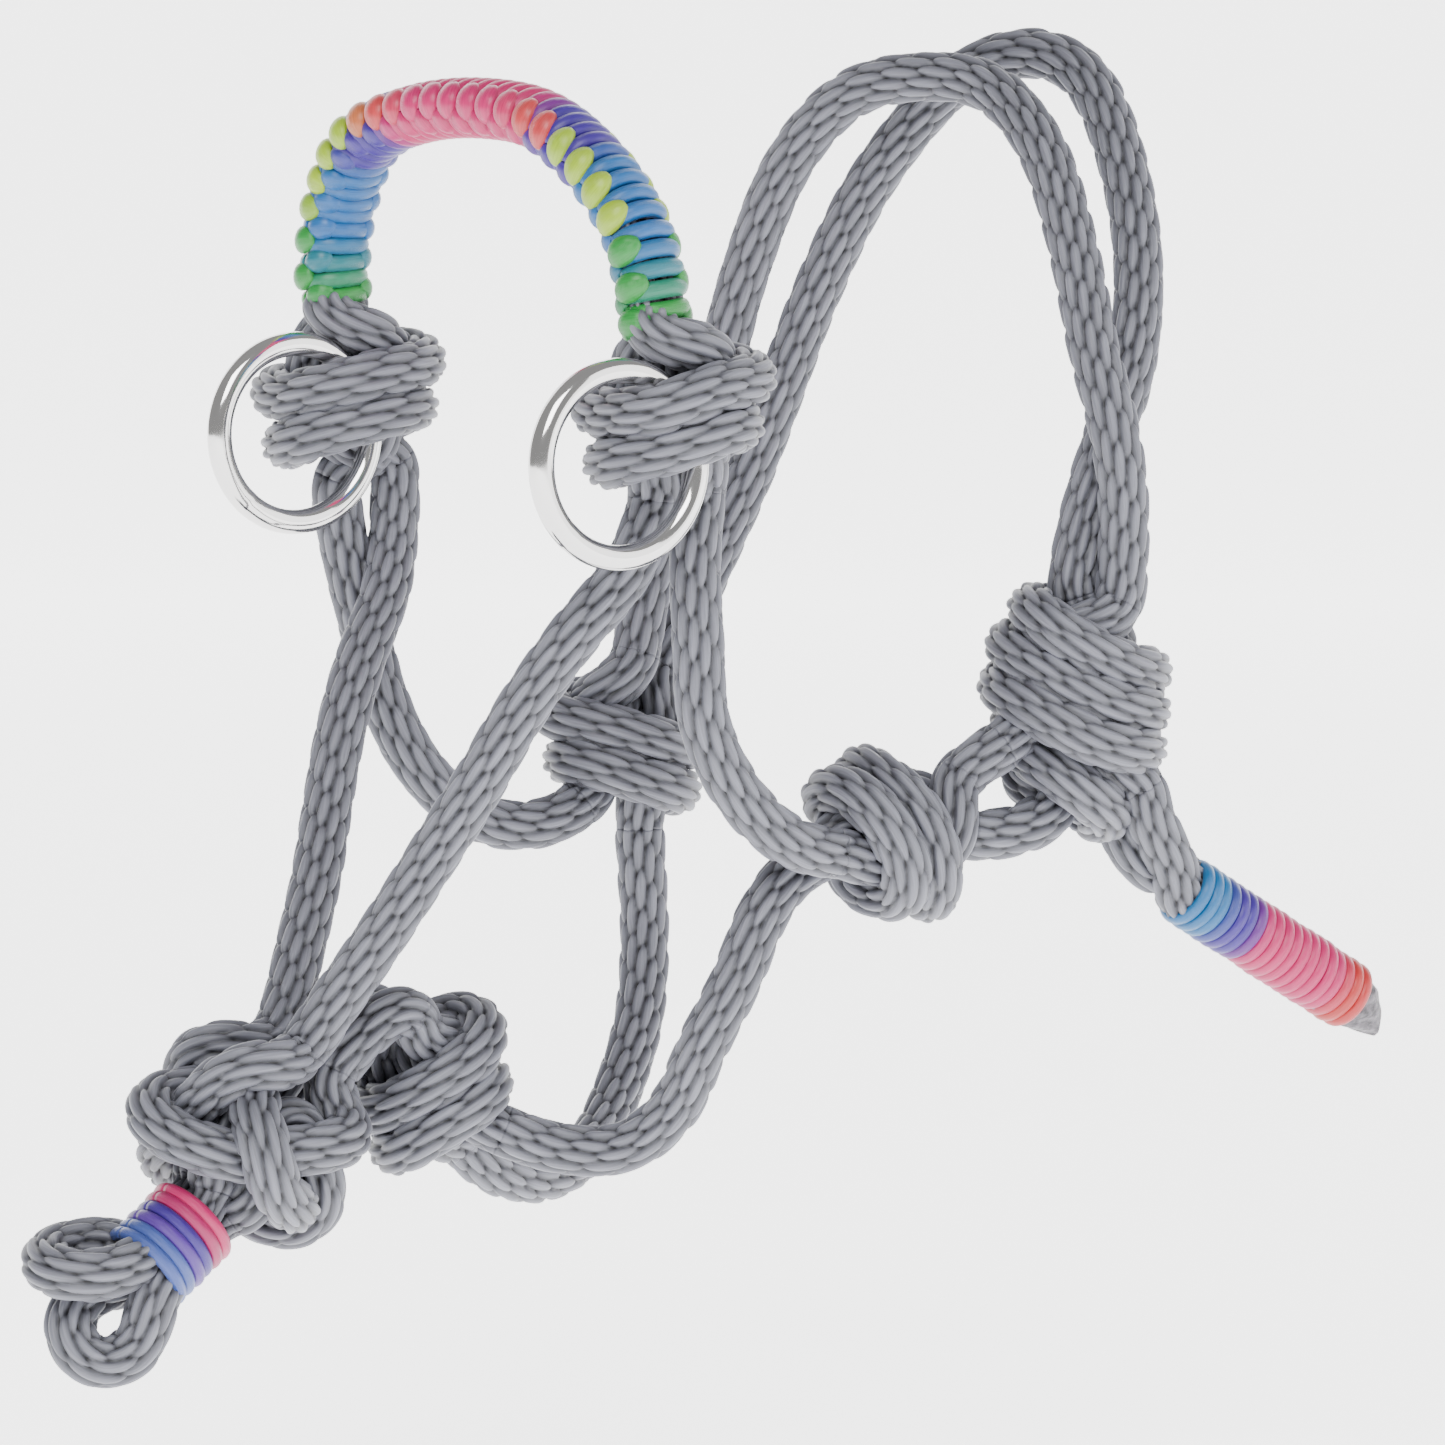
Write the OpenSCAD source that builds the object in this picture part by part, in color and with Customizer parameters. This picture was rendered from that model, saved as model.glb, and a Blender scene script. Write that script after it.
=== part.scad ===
// Rope halter for a hobby horse: one knotted rope, two rings, a woven noseband and two whippings.
// Origin: where the crown rests on the poll. -X is towards the nose, -Y is the near (left) side, +Z is up.

/* [Rope] */
// Diameter of the halter rope
rope_d = 8; // [7.6:0.1:8.2]
// Number of flat sides on a rope tube
rope_sides = 8; // [8:1:12]

/* [Rings] */
// Inner diameter of a nose ring
ring_bore = 25; // [24:0.5:26]
// Thickness of the ring wire
wire_d = 4; // [3.5:0.1:4]

/* [Knots] */
// Outer radius of a nose knot
nose_knot_r = 14; // [13.5:0.5:14.5]
// Outer radius of the cheek and throat knots
small_knot_r = 11.5; // [11:0.5:12]
// Outer radius of the fiador knot
fiador_knot_r = 16; // [15:0.5:17]
// Outer radius of the crown tie knot
tie_knot_r = 14; // [13:0.5:15]

/* [Noseband] */
// Width of the woven noseband from front to back
weave_w = 12.6; // [12:0.2:13]
// Thickness of the woven noseband
weave_t = 10; // [9.6:0.2:10.4]
// Thickness of the weave over the core
weave_wall = 1.8; // [1.6:0.1:2]

/* [Whippings] */
// Outer diameter of the whipping on the crown tails
tail_whipping_d = 12; // [11.6:0.2:12.4]
// Length of the whipping on the crown tails
tail_whipping_l = 40; // [38:1:42]
// Outer diameter of the whipping on the lead loop
lead_whipping_d = 16; // [15:0.5:16]
// Length of the whipping on the lead loop
lead_whipping_l = 12.5; // [11:0.5:13]
// Thickness of the whipping cord
whipping_wall = 1.2; // [1:0.1:1.4]
// How far the tail and the lead loop bend either way, in degrees
flex = 20; // [0:5:20]

/* [Hidden] */

$fn = 48;
rope_r = rope_d / 2;
wire_r = wire_d / 2;
ring_r = (ring_bore + wire_d) / 2;
round_end_r = 0.9 * rope_r;
clearance = 0.4;
cut_through = 40;
core_w = weave_w - 2 * weave_wall;
core_t = weave_t - 2 * weave_wall;
tail_core_r = tail_whipping_d / 2 - whipping_wall;
lead_neck_r = lead_whipping_d / 2 - whipping_wall;
// How far the end turns of a knot are drawn in
end_turn_inset = 1.2;
overlap = 1;

// Routes: each list is the middle line of one stretch of rope, from knot to knot
noseband_route = [
    [-97, -44, -44], [-99, -45, -39], [-100, -45, -31], [-101, -42, -22], [-102, -33, -13], [-102, -18, -6],
    [-102, 0, -4], [-102, 18, -5], [-102, 33, -9], [-101, 42, -18], [-101, 45, -28], [-100, 46, -38],
    [-99, 46, -43]
];
near_cheek_route = [
    [-87, -40, -56], [-88, -41, -64], [-89, -41, -75], [-89, -42, -88], [-88, -42, -100], [-82, -42, -111],
    [-73, -42, -119], [-63, -41, -122], [-54, -40, -120]
];
far_cheek_route = [
    [-99, 49, -56], [-98, 50, -65], [-96, 50, -76], [-93, 49, -89], [-90, 47, -102], [-85, 44, -113],
    [-76, 42, -121], [-66, 40, -123], [-57, 39, -120], [-51, 39, -114]
];
near_chin_route = [
    [-95, -40, -57], [-97, -41, -66], [-102, -41, -76], [-110, -38, -86], [-116, -33, -97],
    [-121, -28, -109], [-126, -22, -121], [-132, -16, -134], [-138, -9, -147], [-142, -5, -156]
];
far_chin_route = [
    [-89, 47, -56], [-88, 47, -65], [-89, 46, -75], [-94, 41, -84], [-102, 36, -94], [-109, 31, -105],
    [-114, 27, -116], [-120, 21, -127], [-127, 15, -138], [-134, 9, -148], [-141, 5, -156]
];
near_latch_route = [
    [-54, -35, -123], [-64, -34, -125], [-71, -34, -132], [-76, -34, -142], [-80, -30, -153],
    [-81, -24, -163], [-86, -17, -170], [-95, -10, -170], [-105, -5, -166]
];
far_latch_route = [
    [-46, 38, -115], [-45, 38, -129], [-45, 37, -143], [-49, 33, -156], [-58, 27, -168], [-69, 19, -175],
    [-82, 13, -178], [-95, 8, -175], [-106, 5, -167]
];
near_link_route = [
    [-137, -4, -159], [-131, -5, -153], [-125, -5, -148], [-119, -5, -147], [-116, -4, -152]
];
far_link_route = [for (p = near_link_route) [p.x, -p.y, p.z]];
crown_front_route = [
    [-48, 36, -102], [-46, 37, -91], [-42, 38, -79], [-35, 39, -65], [-29, 39, -50], [-25, 37, -33],
    [-21, 30, -14], [-16, 19, -2], [-10, 6, 1], [-5, -6, -1], [-5, -20, -11], [-7, -31, -27],
    [-9, -39, -43], [-9, -45, -57], [-8, -46, -70], [-9, -46, -89]
];
crown_back_route = [
    [-40, 42, -102], [-34, 42, -91], [-28, 41, -79], [-22, 39, -65], [-17, 37, -51], [-12, 33, -34],
    [-6, 26, -16], [1, 13, 0], [8, 2, 5], [12, -9, 1], [11, -20, -12], [7, -30, -29],
    [1, -36, -46], [-6, -37, -61], [-11, -38, -74], [-16, -41, -89]
];
tie_upper_route = [[-41, -40, -114], [-35, -40, -110], [-28, -41, -106], [-21, -42, -102]];
tie_lower_route = [
    [-40, -39, -121], [-31, -39, -121], [-23, -40, -120], [-17, -41, -116], [-15, -42, -109]
];
tail_front_route = [[-6, -48, -112], [-4, -48, -119], [1, -47, -126], [7, -46, -132]];
tail_back_route = [[-6, -40, -112], [-5, -41, -120], [-1, -43, -127], [5, -44, -133]];
lead_upper_route = [
    [-167.8, -2.7, -184.4], [-173.8, -3.5, -185], [-178.7, -2.6, -185.3], [-181.2, 1.3, -184.8], [-180, 6.2, -183.6],
    [-175.8, 9, -182.4], [-171.3, 8, -181.8], [-167.1, 6.2, -181.8], [-164.5, 2.9, -182.4]
];
lead_lower_route = [
    [-165.2, -4.2, -187.2], [-166.7, -3.9, -190.6], [-167.5, -3.7, -194.2], [-169.4, -2.9, -197.9],
    [-173.4, -1.3, -199.8], [-177.1, 0.8, -198], [-177.8, 2.9, -194], [-175, 4.2, -190.2], [-170.1, 4.4, -188.2],
    [-165, 3, -186.2]
];

// Places of the knots, the bend pivots and the rings
near_nose_at = [-96, -45, -50];
far_nose_at = [-98, 46, -50];
near_cheek_at = [-48, -39, -120];
far_cheek_at = [-48, 39, -109];
throat_at = [-113, 0, -159];
fiador_at = [-147, 0, -166];
tie_at = [-14, -42, -100];
up = [0, 0, 1];
along_near_cheek = [1, 0, 0.2];
along_throat = [-0.4, 0, 0.9];
along_fiador = [0.6, 0, 0.8];
near_ring_at = [-98, -51, -51];
far_ring_at = [-99, 41, -49];
ring_from_knot = [-0.84, 0, -0.54];
ring_wire_along = [-0.54, 0, 0.84];
lead_pivot = [-156, 0, -178];
lead_along = [-0.79, 0, -0.61];
tail_along = [0.87, 0, -0.49];
tail_start = [5, -45, -131];
tip_l = 6;
tip_end_r = 1.5;
small_knot_half_l = 11;
large_knot_half_l = 14;

function unit(v) = v / norm(v);

// One point on the smooth curve through p, a share t of the way from point i to point i + 1
function curve_point(p, i, t) =
    let (before = p[max(i - 1, 0)], here = p[i], next = p[i + 1], after = p[min(i + 2, len(p) - 1)])
    0.5 * (2 * here + (next - before) * t
        + (2 * before - 5 * here + 4 * next - after) * pow(t, 2)
        + (3 * here - before - 3 * next + after) * pow(t, 3));

// The route with one more point halfway along each step
function smooth(p) = concat(
    [for (i = [0 : len(p) - 2]) for (t = [0, 0.5]) curve_point(p, i, t)],
    [p[len(p) - 1]]);

function heading(p, i) = unit(p[min(i + 1, len(p) - 1)] - p[max(i - 1, 0)]);

// A sideways direction at each point, carried along the route without twisting
function side_vectors(p, side, i = 0) = i == len(p) ? [] :
    let (flat = unit(side - (side * heading(p, i)) * heading(p, i)))
    concat([flat], side_vectors(p, flat, i + 1));

function round_outline(r, sides) =
    [for (k = [0 : sides - 1]) r * [cos(360 * k / sides), sin(360 * k / sides)]];
function oval_outline(w, t, sides) = [for (o = round_outline(0.5, sides)) [o.x * w, o.y * t]];
// Half of an oval, on the side given by 1 or -1
function half_oval(w, t, side) =
    [for (a = [0 : 30 : 180]) side / 2 * [w * sin(a), -t * cos(a)]];

// A solid with the given outline, swept along the route
module sweep(route, outline, side) {
    p = smooth(route);
    n = len(outline);
    sides = side_vectors(p, side);
    points = [for (i = [0 : len(p) - 1]) for (o = outline)
        p[i] + o.x * sides[i] + o.y * cross(heading(p, i), sides[i])];
    walls = [for (i = [0 : len(p) - 2]) for (k = [0 : n - 1])
        let (a = i * n + k, b = i * n + (k + 1) % n)
        each [[a, a + n, b], [b, a + n, b + n]]];
    ends = [[for (k = [0 : n - 1]) k], [for (k = [n - 1 : -1 : 0]) (len(p) - 1) * n + k]];
    polyhedron(points, concat(ends, walls));
}

module rope(route, side = [0.3, 1, 0.1], r = rope_r) {
    color("slategray") sweep(route, round_outline(r, rope_sides), side);
}

// Moves its children so that their Z axis points along a direction, from a place
module placed(at, along) {
    d = unit(along);
    translate(at) rotate([0, acos(d.z), atan2(d.y, d.x)]) children();
}

// A knot as rounded turns of rope stacked along its axis, round a solid middle
module turns(outer_r, half_l) {
    step = half_l - rope_r;
    middle_r = outer_r - rope_r - overlap;
    rotate_extrude() intersection() {
        union() {
            for (k = [-1 : 1]) {
                translate([outer_r - rope_r - end_turn_inset * abs(k), k * step]) circle(r = rope_r);
            }
            translate([0, -step - overlap]) square([middle_r, 2 * (step + overlap)]);
        }
        translate([0, -half_l]) square([outer_r, 2 * half_l]);
    }
}

module knot(at, along, outer_r, half_l) {
    color("slategray") placed(at, along) turns(outer_r, half_l);
}

// The room that a ring's wire needs inside a knot while the ring swings about its own wire
module wire_room(at) {
    inner_r = ring_r - wire_r - clearance;
    end_l = ring_r + wire_r + clearance;
    arc = [for (turn = [-75 : 15 : 75]) [ring_r - inner_r * cos(turn), inner_r * sin(turn)]];
    widest = arc[0].x;
    placed(at, ring_wire_along) rotate_extrude()
        polygon(concat([[0, -end_l], [widest, -end_l]], arc, [[widest, end_l], [0, end_l]]));
}

module nose_knot(at, ring_at) {
    difference() {
        knot(at, up, nose_knot_r, small_knot_half_l);
        color("slategray") wire_room(ring_at);
    }
}

module ring(at) {
    color("silver") translate(at + ring_r * unit(ring_from_knot)) rotate([90, 0, 0])
        rotate_extrude() translate([ring_r, 0]) circle(r = wire_r);
}

// The room that a round neck needs while it bends any way about a pivot: a cup that opens into a cone
module bend_room(at, along, r) {
    room_r = r + clearance;
    edge = room_r * [cos(flex), -sin(flex)];
    cup = [for (a = [-90 : 10 : -flex - 5]) room_r * [cos(a), sin(a)]];
    far_end = edge + cut_through * [sin(flex), cos(flex)];
    cone = [edge, far_end, [0, far_end.y]];
    color("slategray") placed(at, along) rotate_extrude() polygon(concat(cup, cone));
}

module noseband_core(side) {
    color("dimgray") sweep(noseband_route, half_oval(core_w, core_t, side), [1, 0, 0]);
}

module noseband_core_front() noseband_core(-1);
module noseband_core_back() noseband_core(1);

module noseband_weave() {
    inner = [for (i = [1 : len(noseband_route) - 2]) noseband_route[i]];
    color("deeppink") difference() {
        sweep(inner, oval_outline(weave_w, weave_t, 12), [1, 0, 0]);
        sweep(noseband_route, oval_outline(core_w, core_t, 12), [1, 0, 0]);
    }
}

module near_nose_knot() nose_knot(near_nose_at, near_ring_at);
module far_nose_knot() nose_knot(far_nose_at, far_ring_at);
module near_ring() ring(near_ring_at);
module far_ring() ring(far_ring_at);
module near_cheek_piece() rope(near_cheek_route);
module far_cheek_piece() rope(far_cheek_route);
module near_chin_strap() rope(near_chin_route);
module far_chin_strap() rope(far_chin_route);
module near_cheek_knot() knot(near_cheek_at, along_near_cheek, small_knot_r, small_knot_half_l);
module far_cheek_knot() knot(far_cheek_at, up, small_knot_r, small_knot_half_l);
module near_throat_latch() rope(near_latch_route);
module far_throat_latch() rope(far_latch_route);
module throat_knot() knot(throat_at, along_throat, small_knot_r, small_knot_half_l);
module fiador_link_near() rope(near_link_route);
module fiador_link_far() rope(far_link_route);

module fiador_knot() {
    difference() {
        knot(fiador_at, along_fiador, fiador_knot_r, large_knot_half_l);
        bend_room(lead_pivot, lead_along, lead_whipping_d / 2);
    }
}

// A tube of cord wound round a core
module whipping(outer_d, length) {
    difference() {
        cylinder(d = outer_d, h = length);
        translate([0, 0, -overlap]) cylinder(r = outer_d / 2 - whipping_wall, h = length + 2 * overlap);
    }
}

module lead_loop_neck() {
    color("slategray") {
        translate(lead_pivot) sphere(r = lead_neck_r);
        placed(lead_pivot, lead_along) cylinder(r = lead_neck_r, h = lead_whipping_l + overlap);
    }
}

module lead_loop_whipping() {
    color("mediumpurple") placed(lead_pivot, lead_along) whipping(lead_whipping_d, lead_whipping_l);
}

module lead_loop_upper() rope(lead_upper_route, [0, 0, 1]);
module lead_loop_lower() rope(lead_lower_route);
module crown_strand_front() rope(crown_front_route);
module crown_strand_back() rope(crown_back_route);
module tie_loop_upper() rope(tie_upper_route);
module tie_loop_lower() rope(tie_lower_route);

module tie_knot() {
    difference() {
        knot(tie_at, up, tie_knot_r, large_knot_half_l);
        for (tail = [tail_front_route, tail_back_route]) {
            bend_room(tail[0], tail[1] - tail[0], rope_r);
        }
    }
}

// A tail of rope with a rounded upper end, on which it bends
module tail_strand(route) {
    rope(route);
    color("slategray") translate(route[0]) sphere(r = round_end_r);
}

module crown_tail_front() tail_strand(tail_front_route);
module crown_tail_back() tail_strand(tail_back_route);

module tail_core() {
    color("slategray") placed(tail_start, tail_along) cylinder(r = tail_core_r, h = tail_whipping_l);
}

module tail_whipping() {
    color("hotpink") placed(tail_start, tail_along) whipping(tail_whipping_d, tail_whipping_l);
}

// The melted ends of both tails, pinched to a wedge
module tail_tip() {
    color("black") placed(tail_start + tail_whipping_l * unit(tail_along), tail_along)
        cylinder(r1 = tail_core_r, r2 = tip_end_r, h = tip_l);
}

noseband_core_front();
noseband_core_back();
noseband_weave();
near_nose_knot();
far_nose_knot();
near_ring();
far_ring();
near_cheek_piece();
far_cheek_piece();
near_chin_strap();
far_chin_strap();
near_cheek_knot();
far_cheek_knot();
near_throat_latch();
far_throat_latch();
throat_knot();
fiador_link_near();
fiador_link_far();
fiador_knot();
lead_loop_whipping();
lead_loop_neck();
lead_loop_upper();
lead_loop_lower();
crown_strand_front();
crown_strand_back();
tie_loop_upper();
tie_loop_lower();
tie_knot();
crown_tail_front();
crown_tail_back();
tail_core();
tail_whipping();
tail_tip();
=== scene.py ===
"""Looks of a rope halter: one knotted solid-braid rope, a woven noseband, two rings and two whippings.

Lengths are millimetres here, as in the CAD. MM turns them into metres when a mesh, light or camera is made.
"""
import math

import bpy
import numpy as np
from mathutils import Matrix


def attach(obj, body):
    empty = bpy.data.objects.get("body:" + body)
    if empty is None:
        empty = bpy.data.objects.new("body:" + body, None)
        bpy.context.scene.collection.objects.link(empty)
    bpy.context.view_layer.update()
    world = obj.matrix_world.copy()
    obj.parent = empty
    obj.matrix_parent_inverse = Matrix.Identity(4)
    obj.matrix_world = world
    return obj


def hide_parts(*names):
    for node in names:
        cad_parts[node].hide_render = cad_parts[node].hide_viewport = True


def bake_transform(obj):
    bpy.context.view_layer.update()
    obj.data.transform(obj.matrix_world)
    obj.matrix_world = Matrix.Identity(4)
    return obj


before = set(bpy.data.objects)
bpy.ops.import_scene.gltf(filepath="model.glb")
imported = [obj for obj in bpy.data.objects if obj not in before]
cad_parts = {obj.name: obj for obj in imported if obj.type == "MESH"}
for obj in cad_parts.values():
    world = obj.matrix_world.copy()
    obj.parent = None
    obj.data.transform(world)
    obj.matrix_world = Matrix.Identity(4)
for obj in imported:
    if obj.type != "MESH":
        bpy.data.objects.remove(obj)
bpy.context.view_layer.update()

MM = 0.001
RNG = np.random.default_rng(7)

# Sizes of the rope and its skin. AROUND and RING_STEP are how finely it is cut, round the rope and along it
ROPE_R = 4.0
CORE_R = 2.4
NECK_R = 3.1
COLUMNS = 12
AROUND = 84
RING_STEP = 0.45
STITCH_PITCH = 6.8
STITCH_DEPTH = 1.25

# A stitch: how far it laps over the next, leans, and is wide to each side, and the power that rounds it
STITCH_LAP = 1.16
STITCH_LEAN = 0.16
STITCH_HALF_W = 0.60
STITCH_ROUNDING = 0.72

# How the laid knots are settled: how hard the rope is drawn straight, and in how many steps
SETTLING = dict(tension=0.10, rounds=60)

# Bands of an overhand knot: how far apart they lie, and the degrees from one point of a band to the next
BAND_PITCH = 7.2
BAND_STEP = 31

# How far each core strand of the noseband lies from its middle line
CORE_APART = 2.2

# Tone of the rope, depth of the dyes, and strength of the floor's own light and of the light all around
ROPE_GREY = (98, 99, 108)
DYE_DEPTH = 0.45
FLOOR_GLOW = 2.8
WORLD_STRENGTH = 0.4

# The camera, in millimetres, and in degrees round from the near side and up
CAMERA_TARGET = (-55.0, 0.0, -104.0)
CAMERA_AZIMUTH = -35
CAMERA_ELEVATION = 4
CAMERA_DISTANCE = 1500
CAMERA_LENS = 229.3

# Routes of the stretches of rope, from knot to knot, as in the CAD
ROUTES = {
    "noseband": [
        (-97, -44, -44), (-99, -45, -39), (-100, -45, -31), (-101, -42, -22), (-102, -33, -13),
        (-102, -18, -6), (-102, 0, -4), (-102, 18, -5), (-102, 33, -9), (-101, 42, -18),
        (-101, 45, -28), (-100, 46, -38), (-99, 46, -43)],
    "near_cheek_piece": [
        (-87, -40, -56), (-88, -41, -64), (-89, -41, -75), (-89, -42, -88), (-88, -42, -100),
        (-82, -42, -111), (-73, -42, -119), (-63, -41, -122), (-54, -40, -120)],
    "far_cheek_piece": [
        (-99, 49, -56), (-98, 50, -65), (-96, 50, -76), (-93, 49, -89), (-90, 47, -102), (-85, 44, -113),
        (-76, 42, -121), (-66, 40, -123), (-57, 39, -120), (-51, 39, -114)],
    "near_chin_strap": [
        (-95, -40, -57), (-97, -41, -66), (-102, -41, -76), (-110, -38, -86), (-116, -33, -97),
        (-121, -28, -109), (-126, -22, -121), (-132, -16, -134), (-138, -9, -147), (-142, -5, -156)],
    "far_chin_strap": [
        (-89, 47, -56), (-88, 47, -65), (-89, 46, -75), (-94, 41, -84), (-102, 36, -94), (-109, 31, -105),
        (-114, 27, -116), (-120, 21, -127), (-127, 15, -138), (-134, 9, -148), (-141, 5, -156)],
    "near_throat_latch": [
        (-54, -35, -123), (-64, -34, -125), (-71, -34, -132), (-76, -34, -142), (-80, -30, -153),
        (-81, -24, -163), (-86, -17, -170), (-95, -10, -170), (-105, -5, -166)],
    "far_throat_latch": [
        (-46, 38, -115), (-45, 38, -129), (-45, 37, -143), (-49, 33, -156), (-58, 27, -168),
        (-69, 19, -175), (-82, 13, -178), (-95, 8, -175), (-106, 5, -167)],
    "fiador_link_near": [
        (-137, -4, -159), (-131, -5, -153), (-125, -5, -148), (-119, -5, -147), (-116, -4, -152)],
    "fiador_link_far": [
        (-137, 4, -159), (-131, 5, -153), (-125, 5, -148), (-119, 5, -147), (-116, 4, -152)],
    "crown_strand_front": [
        (-48, 36, -102), (-46, 37, -91), (-42, 38, -79), (-35, 39, -65), (-29, 39, -50), (-25, 37, -33),
        (-21, 30, -14), (-16, 19, -2), (-10, 6, 1), (-5, -6, -1), (-5, -20, -11), (-7, -31, -27),
        (-9, -39, -43), (-9, -45, -57), (-8, -46, -70), (-9, -46, -89)],
    "crown_strand_back": [
        (-40, 42, -102), (-34, 42, -91), (-28, 41, -79), (-22, 39, -65), (-17, 37, -51), (-12, 33, -34),
        (-6, 26, -16), (1, 13, 0), (8, 2, 5), (12, -9, 1), (11, -20, -12), (7, -30, -29),
        (1, -36, -46), (-6, -37, -61), (-11, -38, -74), (-16, -41, -89)],
    "tie_loop_upper": [(-41, -40, -114), (-35, -40, -110), (-28, -41, -106), (-21, -42, -102)],
    "tie_loop_lower": [
        (-40, -39, -121), (-31, -39, -121), (-23, -40, -120), (-17, -41, -116), (-15, -42, -109)],
    "crown_tail_front": [(-6, -48, -112), (-4, -48, -119), (1, -47, -126), (7, -46, -132)],
    "crown_tail_back": [(-6, -40, -112), (-5, -41, -120), (-1, -43, -127), (5, -44, -133)],
    "lead_loop_upper": [
        (-167.8, -2.7, -184.4), (-173.8, -3.5, -185), (-178.7, -2.6, -185.3), (-181.2, 1.3, -184.8),
        (-180, 6.2, -183.6), (-175.8, 9, -182.4), (-171.3, 8, -181.8), (-167.1, 6.2, -181.8),
        (-164.5, 2.9, -182.4)],
    "lead_loop_lower": [
        (-165.2, -4.2, -187.2), (-166.7, -3.9, -190.6), (-167.5, -3.7, -194.2), (-169.4, -2.9, -197.9),
        (-173.4, -1.3, -199.8), (-177.1, 0.8, -198), (-177.8, 2.9, -194), (-175, 4.2, -190.2),
        (-170.1, 4.4, -188.2), (-165, 3, -186.2)],
}

# Places of the knots and the rings, as in the CAD
NECK_SLOTS = {"lead_loop_upper": (315, 225), "lead_loop_lower": (45, 135)}
NECK_TWIST = 90
NECK_SPREAD = 3.3
NEAR_RING_AT = (-98, -51, -51)
FAR_RING_AT = (-99, 41, -49)
RING_R = 14.5
WIRE_R = 2.0
RING_FROM_KNOT = (-0.84, 0, -0.54)
RING_WIRE_ALONG = (-0.54, 0, 0.84)
LEAD_PIVOT = (-156, 0, -178)
LEAD_ALONG = (-0.79, 0, -0.61)
LEAD_WHIPPING_D = 16.0
LEAD_WHIPPING_L = 12.5
TAIL_START = (5, -45, -131)
TAIL_ALONG = (0.87, 0, -0.49)
TAIL_WHIPPING_D = 12.0
TAIL_SPREAD = 2.4
TAIL_R = 2.9
TAIL_WHIPPING_L = 40.0

# Each knot: where it is, the way it points, which way its loops bulge, its half size (along, in the bulge
# and across), the reach of its rope ends, the spacing of its strands, and which hand it is tied
KNOTS = {
    "near_nose_knot": dict(shape="overhand", at=(-96, -45, -50), along=(0, 0, 1), bulge=(-0.57, -0.82, 0),
                           half=(11.5, 14, 14.8), reach=15, spacing=6.6, hand=1, ring=NEAR_RING_AT),
    "far_nose_knot": dict(shape="overhand", at=(-98, 46, -50), along=(0, 0, 1), bulge=(-0.57, -0.82, 0),
                          half=(11.5, 14, 14.8), reach=15, spacing=6.6, hand=1, ring=FAR_RING_AT),
    "near_cheek_knot": dict(shape="overhand", at=(-48, -39, -120), along=(1, 0, 0.2), bulge=(-0.4, -1, 0),
                            half=(10.5, 12, 12), reach=13.5, spacing=6.4, hand=1),
    "far_cheek_knot": dict(shape="overhand", at=(-48, 39, -109), along=(0, 0, 1), bulge=(-0.57, -0.82, 0),
                           half=(10.5, 12, 12.5), reach=13.5, spacing=6.4, hand=-1),
    "throat_knot": dict(shape="overhand", at=(-113, 0, -159), along=(-0.4, 0, 0.9), bulge=(-0.57, -0.82, 0),
                        half=(10.5, 12, 12), reach=13.5, spacing=6.4, hand=1),
    "fiador_knot": dict(shape="diamond", at=(-147, 0, -166), along=(0.6, 0, 0.8), bulge=(-0.5, -1, 0),
                        reach=17, spacing=6.8, hand=1),
    "tie_knot": dict(shape="sheet_bend", at=(-14, -42, -100), along=(0.15, -0.1, 1),
                     bulge=(-0.57, -0.82, 0), half=(14, 13.5, 16), reach=16, spacing=6.6, hand=-1),
}

# Where the rope is pressed thinner, inside the weave and the whippings
SQUEEZED_R = {"noseband_core_front": CORE_R, "noseband_core_back": CORE_R, "lead_loop_neck": NECK_R,
              "tail_core": TAIL_R}

# The rope is one continuous piece, and this is the order in which it runs, from one tail to the other.
# A minus means that the stretch is run backwards. Each visit to a knot is one strand of it.
RUN = [
    "-crown_tail_front", "tie_knot", "-crown_strand_front", "far_cheek_knot", "-far_cheek_piece",
    "far_nose_knot", "-noseband_core_front", "near_nose_knot", "near_cheek_piece", "near_cheek_knot",
    "tie_loop_upper", "tie_knot", "-tie_loop_lower", "near_cheek_knot", "near_throat_latch",
    "throat_knot", "-fiador_link_near", "fiador_knot", "lead_loop_upper", "fiador_knot",
    "-near_chin_strap", "near_nose_knot", "noseband_core_back", "far_nose_knot", "far_chin_strap",
    "fiador_knot", "-lead_loop_lower", "fiador_knot", "fiador_link_far", "throat_knot",
    "-far_throat_latch", "far_cheek_knot", "crown_strand_back", "tie_knot", "crown_tail_back"]


# ---- Small geometry helpers

def unit(v):
    """The direction of v, with length 1."""
    v = np.asarray(v, float)
    return v / np.linalg.norm(v)


def spline(points, per_step=8):
    """A Catmull-Rom curve through the points."""
    p = np.asarray(points, float)
    padded = np.vstack([2 * p[0] - p[1], p, 2 * p[-1] - p[-2]])
    t = np.linspace(0, 1, per_step, endpoint=False)[:, None]
    parts = []
    for a, b, c, d in zip(padded, padded[1:], padded[2:], padded[3:]):
        parts.append(0.5 * (2 * b + (c - a) * t + (2 * a - 5 * b + 4 * c - d) * t**2
                            + (3 * b - a - 3 * c + d) * t**3))
    return np.vstack(parts + [p[-1:]])


def lengths_along(path):
    """The length of the path from its start to each point."""
    return np.concatenate([[0], np.cumsum(np.linalg.norm(np.diff(path, axis=0), axis=1))])


def resample(path, count):
    """The same path with points at equal steps."""
    s = lengths_along(path)
    at = np.linspace(0, s[-1], count)
    return np.stack([np.interp(at, s, path[:, k]) for k in range(3)], -1)


def headings(path):
    """The direction of the path at each point."""
    d = np.gradient(path, axis=0)
    return d / np.linalg.norm(d, axis=1)[:, None]


def smoothed(path, times=1, share=0.5):
    """The path with each inner point drawn towards the middle of its neighbours."""
    path = path.copy()
    for _ in range(times):
        path[1:-1] += share * (0.5 * (path[:-2] + path[2:]) - path[1:-1])
    return path


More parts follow.
